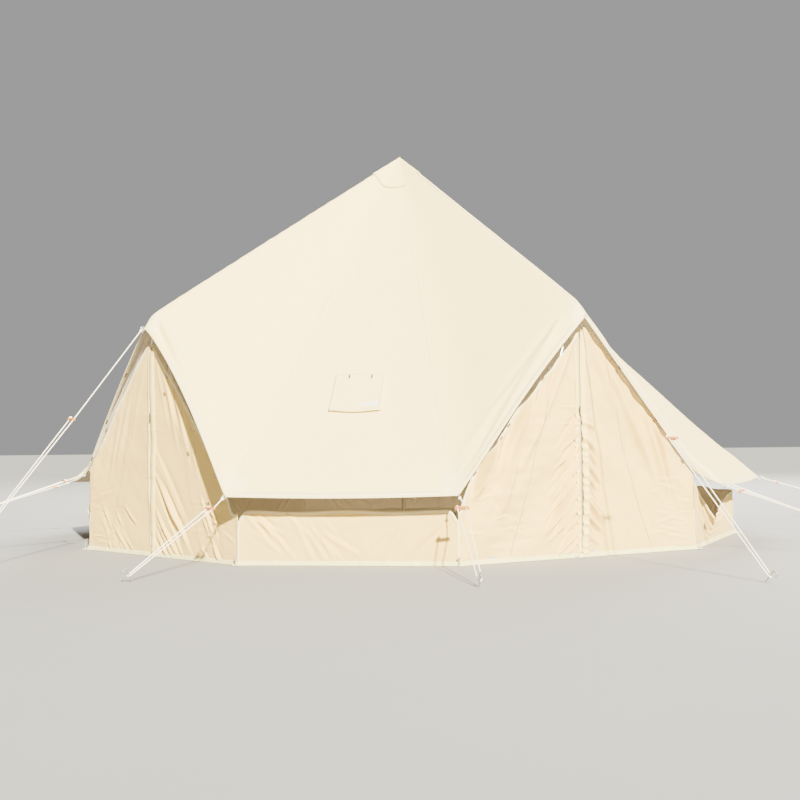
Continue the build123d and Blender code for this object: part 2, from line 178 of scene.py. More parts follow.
def grid_object(name, points, material, uvs=None, wrap=False, flip=False):
    rows, columns = points.shape[:2]
    faces = grid_faces(rows, columns, wrap)
    if flip:
        faces = [face[::-1] for face in faces]
    flat_uvs = None if uvs is None else uvs.reshape(-1, 2)
    return make_object(name, points.reshape(-1, 3), faces, material, flat_uvs)


def thicken(obj, thickness, offset=-1.0):
    modifier = obj.modifiers.new("cloth_thickness", "SOLIDIFY")
    modifier.thickness = thickness
    modifier.offset = offset
    modifier.use_even_offset = False


def grid_normals(points, wrap=False):
    """Outward unit normals of a grid whose rows run downhill and columns run anticlockwise."""
    if wrap:
        along = np.roll(points, -1, axis=1) - np.roll(points, 1, axis=1)
    else:
        along = np.gradient(points, axis=1)
    down = np.gradient(points, axis=0)
    normal = np.cross(down, along)
    length = np.linalg.norm(normal, axis=-1, keepdims=True)
    return normal / np.maximum(length, 1e-9)


def arc_lengths(points, axis):
    steps = np.linalg.norm(np.diff(points, axis=axis), axis=-1)
    total = np.cumsum(steps, axis=axis)
    pad = [(0, 0), (0, 0)]
    pad[axis] = (1, 0)
    return np.pad(total, pad)


def cloth_uvs(points):
    """Metres along and down a grid."""
    return np.stack([arc_lengths(points, 1), arc_lengths(points, 0)], -1)


def fold_lift(points, normals, strokes, near=0.25):
    """Height of soft folds over a surface. Each stroke is (start, end, width, depth)."""
    lift = np.zeros(points.shape[:-1])
    for start, end, width, depth in strokes:
        way = end - start
        length = np.linalg.norm(way)
        along = np.clip(((points - start) @ way) / length**2, 0.0, 1.0)
        offset = points - start - along[..., None] * way
        off_surface = np.sum(offset * normals, axis=-1)
        offset = offset - normals * off_surface[..., None]
        sideways = np.cross(way / length, normals)
        side = np.sign(np.sum(offset * sideways, axis=-1))
        signed = side * np.linalg.norm(offset, axis=-1) / width
        fade = np.sin(np.pi * along) ** 0.8 * (np.abs(off_surface) < near)
        ridge = np.exp(-1.2 * np.abs(signed) ** 1.6) - 0.55 * np.exp(-((signed - 1.5) ** 2))
        lift += depth * fade * ridge
    return lift


def ripple(x, y, seed, scale, octaves=3):
    """Smooth seeded noise from a few random plane waves, roughly -1 to 1."""
    draw = np.random.default_rng(seed)
    total = np.zeros(np.broadcast(x, y).shape)
    for octave in range(octaves):
        for _ in range(5):
            angle, phase = draw.uniform(0, 2 * math.pi, 2)
            wave = 2 * math.pi / scale * draw.uniform(0.7, 1.4) * 1.9**octave
            total += np.sin((x * math.cos(angle) + y * math.sin(angle)) * wave + phase) / 1.9**octave
    return total / 5


# ---------------------------------------------------------------- materials

class Nodes:
    """Short way to build one node material."""

    def __init__(self, name):
        self.material = bpy.data.materials.new(name)
        self.material.use_nodes = True
        self.tree = self.material.node_tree
        self.tree.nodes.clear()
        self.output = self.add("ShaderNodeOutputMaterial")

    def add(self, kind, inputs=None, **settings):
        node = self.tree.nodes.new(kind)
        for key, value in settings.items():
            setattr(node, key, value)
        for key, value in (inputs or {}).items():
            self.feed(node, key, value)
        return node

    def feed(self, node, key, value):
        if isinstance(value, bpy.types.NodeSocket):
            self.tree.links.new(value, node.inputs[key])
        else:
            node.inputs[key].default_value = value

    def place(self, kind="Object"):
        return self.add("ShaderNodeTexCoord").outputs[kind]

    def finish(self, inputs):
        """Makes one Principled shader the whole surface."""
        body = self.add("ShaderNodeBsdfPrincipled", inputs)
        self.feed(self.output, "Surface", body.outputs[0])
        return self.material

    def math(self, operation, a, b=0.0, c=0.0):
        node = self.add("ShaderNodeMath", {0: a, 1: b, 2: c}, operation=operation)
        return node.outputs[0]

    def noise(self, vector, scale, detail=4.0, roughness=0.55):
        inputs = {"Vector": vector, "Scale": scale, "Detail": detail, "Roughness": roughness}
        return self.add("ShaderNodeTexNoise", inputs).outputs["Fac"]

    def wave(self, vector, scale, direction, distortion=0.0):
        inputs = {"Vector": vector, "Scale": scale, "Distortion": distortion, "Detail": 1.0}
        node = self.add("ShaderNodeTexWave", inputs, wave_type="BANDS", bands_direction=direction)
        return node.outputs["Fac"]

    def blend(self, amount, first, second):
        node = self.add("ShaderNodeMix", data_type="RGBA")
        self.feed(node, 0, amount)
        self.feed(node, 6, first)
        self.feed(node, 7, second)
        return node.outputs[2]

    def bump(self, height, strength, distance, normal=None):
        inputs = {"Height": height, "Strength": strength, "Distance": distance}
        if normal is not None:
            inputs["Normal"] = normal
        return self.add("ShaderNodeBump", inputs).outputs["Normal"]


def colour(red, green, blue):
    return (red, green, blue, 1.0)


# Painted light: greyer tone for cloth faces that look into the tent, standing in for the dim light inside it.
INSIDE_PAINTED_LIGHT = (0.80, 0.76, 0.66)


def cloth_material(name, base, shade, weave=0.0011, glow=0.24, stitched=False, ground_darkening=0.0):
    """Woven cotton: crossed threads, slubs, slight colour drift, and some light through it."""
    n = Nodes(name)
    place = n.place()
    uv = n.place("UV")
    threads_per_metre = 0.5 / weave / 6.2832 * 2
    warp, weft = (n.wave(uv, threads_per_metre, direction, 1.2) for direction in "XY")
    cross = n.math("MULTIPLY", warp, weft)
    slub = n.noise(uv, 420.0, 3.0)
    drift = n.noise(place, 1.3, 5.0)
    cloud = n.noise(place, 9.0, 4.0)
    mix = n.math("ADD", n.math("MULTIPLY", drift, 0.75), n.math("MULTIPLY", cloud, 0.35))
    tone = n.blend(n.math("SMOOTH_MIN", mix, 1.0, 0.2), colour(*shade), colour(*base))
    tone = n.blend(n.math("MULTIPLY", slub, 0.10), tone, colour(*[c * 0.80 for c in base]))
    # Darker olive blotches towards the ground, strongest at the foot and gone about 14 cm up.
    if ground_darkening:
        height = n.add("ShaderNodeSeparateXYZ", {0: place}).outputs["Z"]
        low = n.math("SUBTRACT", 1.0, n.math("MULTIPLY", height, 7.0))
        low_blotches = n.math("MULTIPLY", n.math("MAXIMUM", low, 0.0), n.noise(place, 22.0, 6.0))
        tone = n.blend(n.math("MULTIPLY", low_blotches, ground_darkening), tone, colour(0.36, 0.33, 0.20))
    height = n.math("ADD", n.math("MULTIPLY", cross, 0.5), n.math("MULTIPLY", slub, 0.5))
    normal = n.bump(height, 0.35, 0.0006)
    normal = n.bump(n.noise(place, 38.0, 4.0), 0.10, 0.004, normal)
    if stitched:
        split = n.add("ShaderNodeSeparateXYZ", {0: uv})
        along, over = split.outputs["X"], split.outputs["Y"]
        dash = n.math("GREATER_THAN", n.math("PINGPONG", along, 0.0035), 0.0011)
        rows = n.math("COMPARE", n.math("PINGPONG", over, 0.5), 0.0045, 0.0011)
        second = n.math("COMPARE", over, 0.0195, 0.0011)
        thread = n.math("MULTIPLY", dash, n.math("MAXIMUM", rows, second))
        tone = n.blend(n.math("MULTIPLY", thread, 0.55), tone, colour(0.62, 0.52, 0.38))
        normal = n.bump(thread, 0.6, 0.0012, normal)
    # Painted light: faces turned into the tent take the greyer inside tone in place of the dim light there.
    level = n.add("ShaderNodeVectorMath", {0: place, 1: (1.0, 1.0, 0.0)}, operation="MULTIPLY").outputs[0]
    pair = {0: level, 1: n.place("Normal")}
    outwards = n.add("ShaderNodeVectorMath", pair, operation="DOT_PRODUCT").outputs["Value"]
    inside = n.math("LESS_THAN", outwards, -0.2)
    tone = n.blend(inside, tone, colour(*INSIDE_PAINTED_LIGHT))
    cloth = n.add("ShaderNodeBsdfPrincipled", {
        "Base Color": tone, "Roughness": 0.86, "Normal": normal,
        "Sheen Weight": 0.18, "Sheen Roughness": 0.5, "Specular IOR Level": 0.18})
    through = n.add("ShaderNodeBsdfTranslucent", {"Color": colour(0.90, 0.80, 0.62), "Normal": normal})
    both = n.add("ShaderNodeMixShader", {0: glow, 1: cloth.outputs[0], 2: through.outputs[0]})
    n.feed(n.output, "Surface", both.outputs[0])
    return n.material


def wood_material(name, base, dark):
    n = Nodes(name)
    place = n.place()
    grain = n.add("ShaderNodeTexWave", {"Vector": place, "Scale": 60.0, "Distortion": 6.0, "Detail": 3.0})
    fine = n.noise(place, 240.0, 6.0)
    mix = n.math("ADD", n.math("MULTIPLY", grain.outputs["Fac"], 0.6), n.math("MULTIPLY", fine, 0.4))
    tone = n.blend(mix, colour(*dark), colour(*base))
    normal = n.bump(mix, 0.25, 0.0006)
    return n.finish({"Base Color": tone, "Roughness": 0.52, "Normal": normal})


def metal_material(name, base, dark, roughness, spangle=90.0, stretch=(1, 1, 1)):
    """Galvanised or brushed metal with faint mottling and dull rubbed patches."""
    n = Nodes(name)
    place = n.add("ShaderNodeMapping", {"Vector": n.place(), "Scale": stretch}).outputs["Vector"]
    cells = n.add("ShaderNodeTexVoronoi", {"Vector": place, "Scale": spangle}).outputs["Color"]
    grey = n.add("ShaderNodeSeparateColor", {0: cells}).outputs[0]
    wear = n.noise(place, 14.0, 6.0)
    tone = n.blend(n.math("MULTIPLY", grey, 0.4), colour(*base), colour(*dark))
    rough = n.math("ADD", roughness, n.math("MULTIPLY", wear, 0.22))
    normal = n.bump(n.noise(place, 300.0, 3.0), 0.08, 0.0004)
    return n.finish({"Base Color": tone, "Metallic": 1.0, "Roughness": rough, "Normal": normal})


def plain_material(name, base, roughness, grain=120.0, depth=0.0006):
    """Rubber, plastic or coil: fine grain in colour and relief."""
    n = Nodes(name)
    place = n.place()
    speckle = n.noise(place, grain, 5.0)
    tone = n.blend(speckle, colour(*[c * 0.75 for c in base]), colour(*[min(1.0, c * 1.2) for c in base]))
    normal = n.bump(speckle, 0.3, depth)
    return n.finish({"Base Color": tone, "Roughness": roughness, "Normal": normal})


def rope_material():
    """Laid cotton rope: loose fibres and a slow drift in colour."""
    n = Nodes("rope_lay")
    place = n.place()
    fibres = n.noise(place, 900.0, 3.0)
    drift = n.noise(place, 6.0, 3.0)
    tone = n.blend(drift, colour(0.84, 0.79, 0.64), colour(0.93, 0.89, 0.77))
    tone = n.blend(n.math("MULTIPLY", fibres, 0.35), tone, colour(0.52, 0.46, 0.34))
    normal = n.bump(fibres, 0.4, 0.0005)
    return n.finish({"Base Color": tone, "Roughness": 0.8, "Normal": normal, "Sheen Weight": 0.2})


def floor_material():
    n = Nodes("studio_floor")
    place = n.place()
    tone = n.blend(n.noise(place, 0.6, 3.0), colour(0.22, 0.22, 0.22), colour(0.245, 0.245, 0.245))
    return n.finish({"Base Color": tone, "Roughness": 0.9})


ROOF_CLOTH = cloth_material("roof_cloth", (0.96, 0.80, 0.34), (0.92, 0.74, 0.29))
# Wall and base strip cloth are darkened towards the ground in olive blotches.
WALL_CLOTH = cloth_material("wall_cloth", (0.91, 0.66, 0.19), (0.84, 0.58, 0.16), ground_darkening=0.30)
HEM_CLOTH = cloth_material("hem_cloth", (0.96, 0.84, 0.46), (0.92, 0.77, 0.39), stitched=True)
FACING_CLOTH = cloth_material("facing_cloth", (0.99, 0.80, 0.26), (0.96, 0.74, 0.20), stitched=True)
# Painted shadow: dark brown cloth for the strip on each door's swing line, in place of the shadow the tip's
# guy rope throws.
ROPE_SHADOW_PAINT = cloth_material("painted_rope_shadow", (0.62, 0.42, 0.16), (0.50, 0.33, 0.12))
WEBBING = cloth_material("cotton_webbing", (0.82, 0.75, 0.62), (0.74, 0.66, 0.53), 0.0022, 0.03)
SHEET_CLOTH = cloth_material("groundsheet_cloth", (0.40, 0.39, 0.34), (0.32, 0.31, 0.27), 0.0018, 0.0)
BASE_CLOTH = cloth_material("base_strip_cloth", (0.80, 0.74, 0.30), (0.52, 0.52, 0.18), 0.0018, 0.0, ground_darkening=0.5)
HEATPROOF = cloth_material("heatproof_cloth", (0.72, 0.68, 0.60), (0.66, 0.61, 0.53), 0.0016, 0.0)
ROPE = rope_material()
RUNNER_WOOD = wood_material("runner_wood", (0.62, 0.24, 0.06), (0.34, 0.11, 0.02))
TOGGLE_WOOD = wood_material("toggle_wood", (0.09, 0.06, 0.04), (0.04, 0.025, 0.018))
TUBE_STEEL = metal_material("tube_steel", (0.72, 0.72, 0.71), (0.52, 0.53, 0.54), 0.30, 70.0, (1, 1, 0.2))
PEG_STEEL = metal_material("peg_steel", (0.60, 0.60, 0.58), (0.36, 0.36, 0.35), 0.38, 260.0)
RING_STEEL = metal_material("ring_steel", (0.66, 0.65, 0.62), (0.42, 0.41, 0.39), 0.30, 400.0)
ZIP_DARK = metal_material("zip_dark", (0.10, 0.10, 0.10), (0.04, 0.04, 0.04), 0.45, 500.0)
ZIP_COIL = plain_material("zip_coil", (0.42, 0.33, 0.20), 0.45, 900.0, 0.0004)
RUBBER = plain_material("black_rubber", (0.035, 0.035, 0.035), 0.75, 220.0)


def paint(node, material):
    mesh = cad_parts[node].data
    mesh.materials.clear()
    mesh.materials.append(material)


# ---------------------------------------------------------------- roof

ROOF_STEP = 0.034
ROOF_ROWS = 104
EAVE_SAG = 0.014
# how far each door's edges are drawn up, by door and side
EDGE_PULL = {("right", -1): 0.028, ("right", 1): 0.0, ("left", -1): 0.020, ("left", 1): 0.070}
CAP_RADIUS = 0.38


def line(start, end, count):
    share = np.linspace(0.0, 1.0, count, endpoint=False)[:, None]
    return start + (end - start) * share


def bowed(start, end, pull, peak=1.0):
    """Hem from start to just before end, pulled sideways by its own tension."""
    count = int(np.linalg.norm(end - start) / ROOF_STEP)
    bow = np.sin(np.pi * np.linspace(0.0, 1.0, count, endpoint=False) ** peak)[:, None]
    return line(start, end, count) + bow * pull


def hanging(start, end):
    """Hem that comes down over the wall's corner and only then runs out to the eave corner."""
    low = polar(HANG_RADIUS, HANG_AZIMUTH, HANG_HEIGHT)
    first = line(start, low, int(np.linalg.norm(low - start) / ROOF_STEP))
    points = np.concatenate([first, line(low, end, int(np.linalg.norm(end - low) / ROOF_STEP))])
    for _ in range(10):
        points[1:-1] = (points[1:-1] * 2 + points[2:] + points[:-2]) / 4
    return points


def fold_of(hem, knee, corner):
    """For each hem point beside a door, its place on the fold and that fold's share of the way."""
    folds, share = hem.copy(), np.ones(len(hem))
    way = corner - knee
    for c, point in enumerate(hem):
        system = np.array([[point[0], -way[0]], [point[1], -way[1]]])
        _, part = np.linalg.solve(system, knee[:2])
        if part < 0.999:
            folds[c] = knee + way * part
            above, below = np.linalg.norm(folds[c] - PEAK), np.linalg.norm(point - folds[c])
            share[c] = above / (above + below)
    return folds, share


def hem_outline():
    """Whole hem anticlockwise from the front wall's left corner, with the fold above it.

    marks holds (column, is_tip) for every corner."""
    hems, folds, shares, marks, column = [], [], [], [], 0
    for i, azimuth in enumerate(EAVE_AZIMUTHS):
        following = EAVE_AZIMUTHS[(i + 1) % len(EAVE_AZIMUTHS)]
        start, end = eave(azimuth), eave(following)
        beyond = following + 360 * (following < azimuth)
        beside = [name for name, door in DOORS.items() if azimuth < door < beyond]
        marks.append((column, False))
        if not beside:
            hem = bowed(start, end, -EAVE_SAG * UP)
            hems.append(hem)
            folds.append(hem)
            shares.append(np.ones(len(hem)))
            column += len(hem)
            continue
        door = DOORS[beside[0]]
        top, knee = polar(TIP_RADIUS, door, TIP_HEIGHT), polar(KNEE_RADIUS, door, KNEE_HEIGHT)
        for hand, (first, last) in ((-1, (start, top)), (1, (top, end))):
            size = EDGE_PULL[beside[0], hand]
            pull = unit(across(door) * hand * 0.75 + outward(door) * -0.1 + UP * 0.65) * size
            if size:
                hem = bowed(first, last, pull, 0.75 if hand > 0 else 1.3)
            else:
                hem = hanging(first, last)
            fold, share = fold_of(hem, knee, start if hand < 0 else end)
            hems.append(hem)
            folds.append(fold)
            shares.append(share)
            if hand > 0:
                marks.append((column, True))
            column += len(hem)
    return np.concatenate(hems), np.concatenate(folds), np.concatenate(shares), marks


def roof_strokes():
    """Creases that run from the knees down beside the door edges, and faint ones elsewhere."""
    draw = np.random.default_rng(40)
    strokes = []
    creases = (
        (0.015, 0.97), (0.035, 0.88), (0.06, 0.97), (0.09, 0.80),
        (0.12, 0.95), (0.16, 0.70), (0.20, 0.90), (0.27, 0.60))
    for door in DOORS.values():
        knee = polar(KNEE_RADIUS - 0.03, door, KNEE_HEIGHT + 0.04)
        for hand in (-1, 1):
            turns = {azimuth: hand * ((azimuth - door + 180) % 360 - 180) for azimuth in EAVE_AZIMUTHS}
            corner = eave(next(azimuth for azimuth, turn in turns.items() if 0 < turn < 30))
            middle = polar(EAVE_DISTANCE, door + hand * SECTOR / 2, EAVE_HEIGHT)
            for k, (share, reach) in enumerate(creases):
                aside = share + draw.uniform(-0.008, 0.008)
                target = corner + (middle - corner) * aside + UP * (share * 0.3)
                begin = draw.uniform(0.03, 0.30)
                start = knee + (target - knee) * begin + across(door) * hand * draw.uniform(0.0, 0.05)
                end = knee + (target - knee) * (reach + draw.uniform(-0.06, 0.03))
                depth = draw.uniform(0.020, 0.034) * (1.0 - share) * (1.0 if k % 2 else -0.6)
                strokes.append((start, end, 0.022 + 0.03 * share, depth))
    slope = (PEAK_HEIGHT - EAVE_HEIGHT) / EAVE_DISTANCE
    for _ in range(26):
        azimuth = draw.uniform(0, 360)
        distance = draw.uniform(0.5, 2.6)
        start = polar(distance, azimuth, PEAK_HEIGHT - slope * distance)
        way = outward(azimuth) + across(azimuth) * draw.uniform(-0.25, 0.25) - UP * slope
        strokes.append((start, start + way * draw.uniform(0.12, 0.35), 0.022, draw.uniform(0.002, 0.004)))
    return strokes


def relax(points, hold, rounds, down_share):
    """Cloth pulled tight: each free point moves towards the middle of its neighbours."""
    for _ in range(rounds):
        side = (np.roll(points, 1, axis=1) + np.roll(points, -1, axis=1))[1:-1] / 2
        down = (points[2:] + points[:-2]) / 2
        target = side * (1 - down_share) + down * down_share
        points[1:-1] += 0.5 * hold[1:-1, :, None] * (target - points[1:-1])
    return points


def doubled(grid):
    """Twice as many rows and columns by halving every step. Columns go round and close up."""
    after = np.roll(grid, -1, axis=1)
    wide = np.stack([grid, (grid + after) / 2], axis=2).reshape(len(grid), -1, grid.shape[-1])
    tall = np.empty((2 * len(grid) - 1, *wide.shape[1:]))
    tall[::2] = wide
    tall[1::2] = (wide[1:] + wide[:-1]) / 2
    return tall


def build_roof_surface():
    hem, folds, share, marks = hem_outline()
    rows = np.linspace(0.012, 1.0, ROOF_ROWS)
    points = np.empty((ROOF_ROWS, len(hem), 3))
    for r, t in enumerate(rows):
        upper = PEAK + (folds - PEAK) * (t / share)[:, None]
        lower_share = np.clip((t - share) / np.maximum(1 - share, 1e-6), 0, 1)[:, None]
        lower = folds + (hem - folds) * lower_share
        points[r] = np.where((t <= share)[:, None], upper, lower)
    points[..., 2] += ROOF_LIFT
    hold = np.ones(points.shape[:2])
    for column, is_tip in marks:
        hold[:, column] = 0.0 if is_tip else 0.9 * np.clip((0.93 - rows) / 0.5, 0, 1) ** 0.7
    hold[:4] = 0.0
    relax(points, hold, 200, 0.25)
    for column, _ in marks:
        hold[:, column] = np.maximum(hold[:, column], 0.5)
    relax(points, hold, 8, 0.5)
    points = doubled(points)
    marks = [(2 * column, is_tip) for column, is_tip in marks]
    hold = np.ones(points.shape[:2])
    hold[:8] = 0.0
    relax(points, hold, 6, 0.5)
    normals = grid_normals(points, wrap=True)
    lift = fold_lift(points, normals, roof_strokes())
    lift += 0.003 * ripple(arc_lengths(points, 1), arc_lengths(points, 0), 5, 0.9, 2)
    rows = np.linspace(0.012, 1.0, len(points))[:, None]
    lift *= np.clip((1 - rows) / 0.03, 0.25, 1.0) * np.clip(rows / 0.12, 0.0, 1.0)
    points += normals * lift[..., None]
    return points, marks


ROOF, ROOF_MARKS = build_roof_surface()
ROOF_NORMALS = grid_normals(ROOF, wrap=True)
ROOF_DOWN = arc_lengths(ROOF, 0)


def roof_uvs():
    """Threads run round and down each gore."""
    azimuth = np.unwrap(np.arctan2(ROOF[..., 0], -ROOF[..., 1]), axis=1)
    return np.stack([azimuth * 2.2, ROOF_DOWN], axis=-1)


def canopy():
    obj = grid_object("roof_canopy", ROOF, ROOF_CLOTH, roof_uvs(), wrap=True)
    thicken(obj, 0.0016)
    area = cloth_area(ROOF, wrap=True)
    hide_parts("canopy")
    ride(obj)
    return obj, area


def cloth_area(points, wrap=False):
    if wrap:
        points = np.concatenate([points, points[:, :1]], axis=1)
    a = points[1:, 1:] - points[:-1, :-1]
    b = points[1:, :-1] - points[:-1, 1:]
    return float(np.linalg.norm(np.cross(a, b), axis=-1).sum() / 2)


def roof_hem():
    """Doubled hem along the roof's edge, turned to the outside."""
    width, lift = 0.042, 0.0022
    rows = 4
    edge, above = ROOF[-1], ROOF[-4]
    way = unit_rows(above - edge)
    normal = ROOF_NORMALS[-2]
    shares = np.linspace(0, 1, rows)
    strip = np.empty((rows + 2, ROOF.shape[1], 3))
    strip[0] = edge + way * width - normal * 0.0004
    for r, share in enumerate(shares):
        strip[r + 1] = edge + way * width * (1 - share) + normal * lift
    strip[-1] = edge - way * 0.003 - normal * 0.003
    round_way = arc_lengths(strip, 1)
    over = np.array([width + 0.002, *(width * (1 - shares)), -0.003])[:, None] + 0 * round_way
    obj = grid_object("roof_hem", strip, HEM_CLOTH, np.stack([round_way, over * 0.6], -1), wrap=True)
    return ride(obj)


def ribbon(name, spine, normals, width, lift, material):
    """Flat tape that follows a line on a surface."""
    along = unit_rows(np.gradient(spine, axis=0))
    side = unit_rows(np.cross(along, normals))
    shares = (-0.5, -0.46, 0.0, 0.46, 0.5)
    heights = (-0.2, 1.0, 1.15, 1.0, -0.2)
    rows = [spine + side * width * s + normals * lift * h for s, h in zip(shares, heights)]
    points = np.stack(rows)
    length = arc_lengths(points, 1)
    over = (np.array(shares)[:, None] + 0.5) * 0.024 + 0 * length
    return grid_object(name, points, material, np.stack([length, over], -1), flip=True)


def roof_seams():
    """Felled seams from the hood down every ridge and gore join."""
    pieces = []
    cap_row = int(np.searchsorted(ROOF_DOWN[:, 0], CAP_RADIUS * 0.8))
    for i, (column, is_tip) in enumerate(ROOF_MARKS):
        spine, normals = ROOF[cap_row:, column], ROOF_NORMALS[cap_row:, column]
        width = 0.026 if is_tip else 0.018
        seam = ribbon(f"roof_seam_{i + 1}", spine, normals, width, 0.0016, HEM_CLOTH)
        pieces.append(ride(seam))
    return pieces


def corner_patches():
    """Second layer of cloth sewn on at every corner that a rope pulls."""
    count = ROOF.shape[1]
    for i, (column, is_tip) in enumerate(ROOF_MARKS):
        half = 8 if is_tip else 7
        columns = np.arange(column - half, column + half + 1) % count
        area = ROOF[-11:-1][:, columns] + ROOF_NORMALS[-11:-1][:, columns] * 0.0030
        area[0] -= ROOF_NORMALS[-11][columns] * 0.0028
        area[:, [0, -1]] -= ROOF_NORMALS[-11:-1][:, columns[[0, -1]]] * 0.0028
        patch = grid_object(f"corner_patch_{i + 1}", area, HEM_CLOTH, cloth_uvs(area))
        ride(patch)


def vent_hood():
    """Hood over the peak. It lies on the ridges and stands off the valleys as a vent."""
    rows = int(np.searchsorted(ROOF_DOWN[:, 0], CAP_RADIUS * 1.2)) + 1
    top = np.array([0, 0, PEAK_HEIGHT + 0.016])
    points = ROOF[:rows] + ROOF_NORMALS[:rows] * 0.007
    share = np.linspace(0, 1, rows)[:, None]
    points = points + ROOF_NORMALS[:rows] * (0.005 * share**2)[..., None]
    first = np.repeat(top[None, None], points.shape[1], axis=1)
    points = np.concatenate([first, points], axis=0)
    obj = grid_object("vent_hood", points, ROOF_CLOTH, cloth_uvs(points), wrap=True)
    thicken(obj, 0.0016)
    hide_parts("apex_cap")
    ride(obj)
    edge = np.concatenate([points[-1], points[-1][:1]])
    inner = np.concatenate([points[-2], points[-2][:1]])
    normal = np.concatenate([ROOF_NORMALS[rows], ROOF_NORMALS[rows][:1]])
    spine = edge + (inner - edge) * 0.35
    hem = ribbon("vent_hood_hem", spine, normal, 0.024, 0.0018, HEM_CLOTH)
    ride(hem)


# ---------------------------------------------------------------- stove flap

FLAP_WIDTH = 0.395
FLAP_TOP = 2.225
FLAP_LOW = 2.520


def roof_at(distance, along, lift):
    """Point and normal on the front side of the roof, by plan distance and sideways place."""
    front = slice(0, ROOF_MARKS[1][0])
    plan = ROOF[:, front, :2]
    gap = (plan[..., 1] + distance) ** 2 + (plan[..., 0] - along) ** 2
    nearest = np.argsort(gap.ravel())[:4]
    weights = 1 / (gap.ravel()[nearest] + 1e-6)
    weights /= weights.sum()
    points = ROOF[:, front].reshape(-1, 3)[nearest]
    normals = ROOF_NORMALS[:, front].reshape(-1, 3)[nearest]
    normal = unit((normals * weights[:, None]).sum(axis=0))
    middle = (points * weights[:, None]).sum(axis=0)
    drop = (normal[0] * (along - middle[0]) + normal[1] * (-distance - middle[1])) / normal[2]
    return np.array([along, -distance, middle[2] - drop]) + normal * lift


def flap_grid(top, low, width, lift, rows, columns, bow):
    points = np.empty((rows, columns, 3))
    for r in range(rows):
        for c in range(columns):
            down, sideways = r / (rows - 1), c / (columns - 1) * 2 - 1
            belly = bow * down * (1 - sideways**2)
            place = top + (low - top) * down + belly
            raise_by = lift + 0.014 * down**3 + 0.003 * math.sin(3.1 * sideways + 5 * down) * down
            points[r, c] = roof_at(place, sideways * width / 2, raise_by)
    return points


def stove_flap():
    points = flap_grid(FLAP_TOP, FLAP_LOW, FLAP_WIDTH, 0.006, 26, 26, 0.014)
    flap = grid_object("stove_flap_cloth", points, ROOF_CLOTH, cloth_uvs(points))
    thicken(flap, 0.0018)
    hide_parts("stove_flap")
    ride(flap, "flap")
    normals = grid_normals(points)
    outline = np.concatenate([points[:, 1], points[-2, 2:-2], points[::-1, -2]])
    ways = np.concatenate([normals[:, 1], normals[-2, 2:-2], normals[::-1, -2]])
    hem = ribbon("stove_flap_hem", outline, ways, 0.022, 0.0022, HEM_CLOTH)
    ride(hem, "flap")
    panel = flap_grid(FLAP_TOP + 0.016, FLAP_LOW - 0.030, 0.33, 0.0025, 14, 14, 0.0)
    jack = grid_object("heatproof_panel", panel, HEATPROOF, cloth_uvs(panel))
    thicken(jack, 0.0012)
    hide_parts("stove_jack_panel")
    ride(jack)
    for i, (row, column) in enumerate(((2, 7), (2, 18))):
        place, normal = points[row, column], normals[row, column]
        shares = np.linspace(-1, 1, 15)[:, None]
        centres = place + normal * 0.009 + unit(points[row + 2, column] - place) * shares * 0.022
        radii = 0.0065 * np.sqrt(1.02 - shares[:, 0] ** 2)
        toggle = tube_mesh(f"stove_flap_toggle_{i + 1}", centres, radii, 12, TOGGLE_WOOD)
        ride(toggle, "flap")


# ---------------------------------------------------------------- walls and doors

CLOTH_STEP = 0.011
CLOTH_THICKNESS = 0.0014
CLOTH_GROUND_GAP = 0.006
HEM_WIDTH = 0.024
HEM_LIFT = 0.002
HEM_SETBACK = 0.012
FOOT_HEM_HEIGHT = 0.020
ZIP_EDGE = 0.009
ZIP_FOOT = 0.03
ZIP_LENGTH = 1.59
# top edge of each half door, from the zip outwards: distance along the door and height
DOOR_EDGES = {
    ("right", -1): (
        (0, 1.67), (0.03, 1.65), (0.1, 1.55), (0.4, 1.235), (0.75, 0.84), (0.95, 0.59),
        (1.0, 0.50), (1.04, 0.37), (1.065, 0.36)),
    ("right", 1): ((0, 1.69), (0.05, 1.70), (0.1, 1.675), (0.5, 1.235), (1.0, 0.665), (1.065, 0.58)),
    ("left", -1): ((0, 1.64), (0.06, 1.63), (0.12, 1.575), (0.5, 1.155), (0.85, 0.725), (0.907, 0.655)),
    ("left", 1): (
        (0, 1.63), (0.04, 1.61), (0.1, 1.535), (0.3, 1.325), (0.6, 0.96), (0.88, 0.585),
        (0.94, 0.49), (0.98, 0.38), (1.02, 0.36), (1.065, 0.375)),
}


# how much deeper the folds of each half door are drawn
FOLD_SCALE = {("right", -1): 4.4, ("right", 1): 3.8, ("left", -1): 1.3, ("left", 1): 1.15}


def door_top_height(name, side, along):
    """Top edge of the door cloth: close under the roof's edge, cut short over the low wall's corner."""
    places, heights = np.array(DOOR_EDGES[name, side]).T
    nearby = np.linspace(-0.012, 0.012, 7)
    return np.mean([np.interp(along + shift, places, heights) for shift in nearby], axis=0)


def stroke(along, height, angle, length, width, depth):
    """Fold on a half door that runs from a place downwards, the angle being from level."""
    start = np.array([along, 0.0, height])
    way = np.array([math.cos(math.radians(angle)), 0.0, -math.sin(math.radians(angle))])
    return start, start + way * length, width, depth


